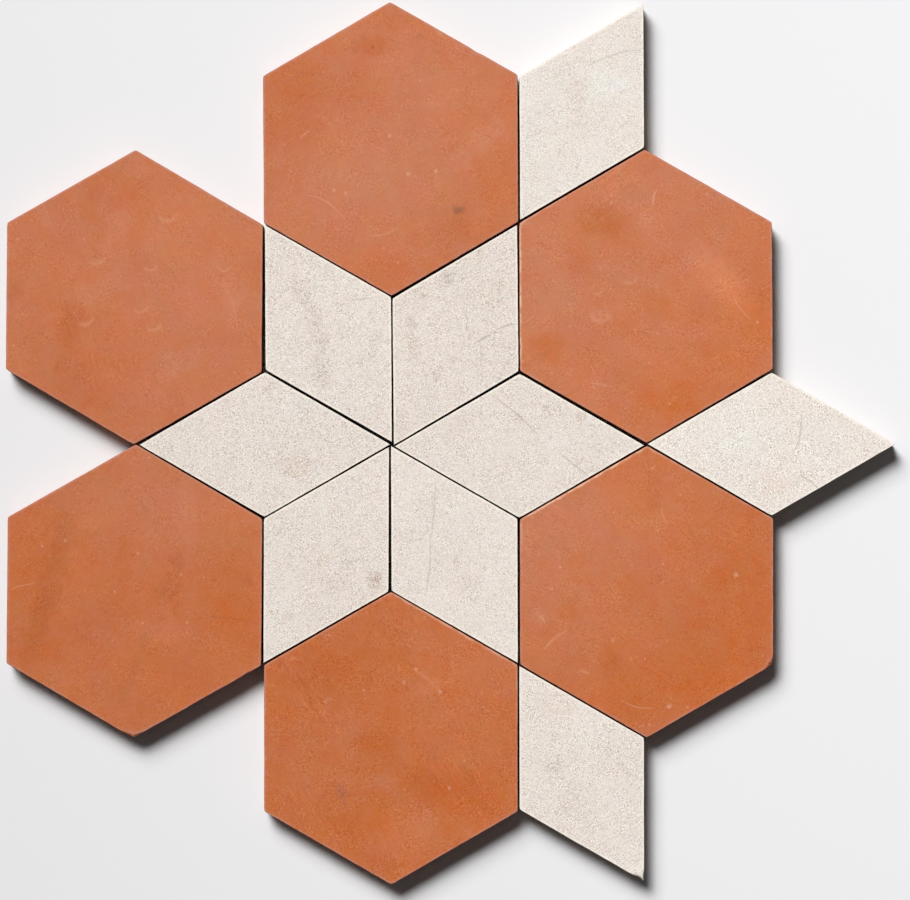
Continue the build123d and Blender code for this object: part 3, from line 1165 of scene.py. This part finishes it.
def yarnTube(path, across, yarn, row, rows, longest):
    # ellipses along the path: P(s, a) = path(s) + across halfWidth cos a + up halfHeight sin a
    count, around = len(path), yarn["around"]
    angle = 2 * np.pi * np.arange(around) / around
    section = np.outer(np.cos(angle) * yarn["halfWidth"], across)
    section[:, 2] += np.sin(angle) * yarn["halfHeight"]
    points = (path[:, None] + section).reshape(-1, 3)
    here = np.arange((count - 1) * around)
    beside = here - here % around + (here + 1) % around
    quads = np.stack((here, here + around, beside + around, beside), 1)
    fan = np.arange(1, around - 1)
    first = np.stack((0 * fan, fan, fan + 1), 1)
    last = (count - 1) * around + first[:, ::-1]
    triangles = np.concatenate((first, last))
    # each yarn has a row of its own in the bake
    run = np.hypot(*(path - path[0])[:, :2].T) / longest
    step = here // around
    turn = here % around
    u = np.stack((run[step], run[step + 1], run[step + 1], run[step]), 1)
    v = np.stack((turn, turn, turn + 1, turn + 1), 1) / around
    quadUv = np.stack((u, (row + 0.1 + 0.8 * v) / rows), -1).reshape(-1, 2)
    capU = np.repeat(run[[0, -1]], 3 * len(fan))
    capUv = np.stack((capU, np.full(len(capU), (row + 0.5) / rows)), 1)
    return points, quads, triangles, quadUv, capUv


def weavePiece(name, node, along, yarn, sides):
    # one yarn for each entry of sides, which says on which side of the twist it starts
    forward = np.eye(3)[along]
    across = np.cross(forward, (0, 0, 1))
    runs = strandRuns(node, along)
    longest = max(high - low for _, low, high in runs)
    parts = []
    for middle, low, high in runs:
        step = weave["pitch"] / yarn["perPitch"]
        # no station right beside an end
        inner = np.arange(np.ceil(low / step + 0.2), np.floor(high / step - 0.2) + 1) * step
        s = np.concatenate(((low,), inner, (high,)))
        twist = np.pi * (s / weave["pitch"] - 0.5)
        for side in sides:
            path = np.outer(s, forward)
            path[:, 1 - along] += middle
            path += np.outer(side * weave["pairSwing"] * np.sin(twist), across)
            path[:, 2] += weave["level"] + side * weave["pairRise"] * np.cos(twist)
            parts.append(yarnTube(path, across, yarn, len(parts), len(runs) * len(sides), longest))
    shifts = np.cumsum([0] + [len(part[0]) for part in parts[:-1]])
    points = np.concatenate([part[0] for part in parts])
    quads = np.concatenate([part[1] + shift for part, shift in zip(parts, shifts)])
    triangles = np.concatenate([part[2] + shift for part, shift in zip(parts, shifts)])
    uv = np.concatenate([part[3] for part in parts] + [part[4] for part in parts])
    made = meshPiece(name, points, quads, triangles, uv, {})
    made.data.materials.append(glassFibre(name, len(parts)))
    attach(made, "root")
    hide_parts(node)
    print(name + ":", len(parts), "yarns")


def glassFibre(name, rows):
    # fine filaments along each yarn
    finish = fibreFinish
    material, tree, shader = newMaterial("glassFibre_" + name.split(".")[0])
    bake = put(tree, "UVMap", uv_map="OFBake").outputs[0]
    along, across = finish["filaments"]
    stretched = vectorCalc(tree, "MULTIPLY", bake, (along, rows * across, 0.0))
    filaments = noise(tree, stretched, 1.0)
    body = blend(tree, filaments, finish["dark"], finish["pale"])
    tree.links.new(body, shader.inputs["Base Color"])
    inputs = {"Strength": finish["bump"], "Distance": finish["bumpDepth"], "Height": filaments}
    tree.links.new(put(tree, "Bump", inputs).outputs[0], shader.inputs["Normal"])
    shader.inputs["Roughness"].default_value = finish["roughness"]
    return material


weavePiece("mesh_warp.yarns", "mesh_warp", 1, warp, (1, -1))
weavePiece("mesh_weft.yarns", "mesh_weft", 0, weft, (0,))

# Floor, light and camera
floor = {
    "half": 6.0,
    "drop": 0.1 * millimetre,
    "albedo": colour(238, 237.5, 239),
    "roughness": 0.9,
    "specular": 0.1,
}


def layFloor():
    half = floor["half"]
    mesh = bpy.data.meshes.new("floor")
    corners = [(-half, -half), (half, -half), (half, half), (-half, half)]
    mesh.from_pydata([(x, y, -floor["drop"]) for x, y in corners], [], [(0, 1, 2, 3)])
    made = bpy.data.objects.new("floor", mesh)
    bpy.context.scene.collection.objects.link(made)
    material, tree, shader = newMaterial("paleFloor")
    shader.inputs["Base Color"].default_value = floor["albedo"]
    shader.inputs["Roughness"].default_value = floor["roughness"]
    shader.inputs["Specular IOR Level"].default_value = floor["specular"]
    mesh.materials.append(material)


layFloor()

# Azimuth from +X and elevation in degrees, half the angle that each lamp is seen under, and watts
lamps = {
    "key": (115.0, 57.5, 9.0, 11.7),
    "soft": (115.0, 52.0, 15.5, 17.1),
    "distance": 3.3,
    "aim": (0.83, -0.5, 0.0),  # past the sheet's lower right, so the light fades less that way
    "spread": 72.0,
    "ambient": 0.045,
}


def hangLamp(name):
    azimuth, elevation, angle, power = lamps[name]
    turn, rise = math.radians(azimuth), math.radians(elevation)
    light = bpy.data.lights.new(name + "Lamp", "AREA")
    light.shape = "DISK"
    light.size = 2 * lamps["distance"] * math.tan(math.radians(angle))
    light.spread = math.radians(lamps["spread"])
    light.energy = power
    made = bpy.data.objects.new(name + "Lamp", light)
    level = math.cos(rise)
    toLamp = Vector((level * math.cos(turn), level * math.sin(turn), math.sin(rise)))
    made.location = toLamp * lamps["distance"]
    made.rotation_euler = (Vector(lamps["aim"]) - made.location).to_track_quat("-Z", "Y").to_euler()
    bpy.context.scene.collection.objects.link(made)


hangLamp("key")
hangLamp("soft")
world = bpy.data.worlds.new("studio")
world.use_nodes = True
background = world.node_tree.nodes["Background"]
background.inputs["Color"].default_value = (1, 1, 1, 1)
background.inputs["Strength"].default_value = lamps["ambient"]
bpy.context.scene.world = world
bpy.context.scene.view_settings.view_transform = "Standard"

view = {"lens": 150.0, "sensor": 36.0}


def setCamera():
    lens = bpy.data.cameras.new("camera")
    lens.lens = view["lens"]
    lens.sensor_width = view["sensor"]
    made = bpy.data.objects.new("camera", lens)
    x, y = fromPhoto(photo["width"] / 2, photo["height"] / 2)
    width = photo["width"] * pixel
    made.location = (x, y, faceLevel + width * view["lens"] / view["sensor"])
    bpy.context.scene.collection.objects.link(made)
    bpy.context.scene.camera = made


setCamera()
print("floor, lamps and camera set")
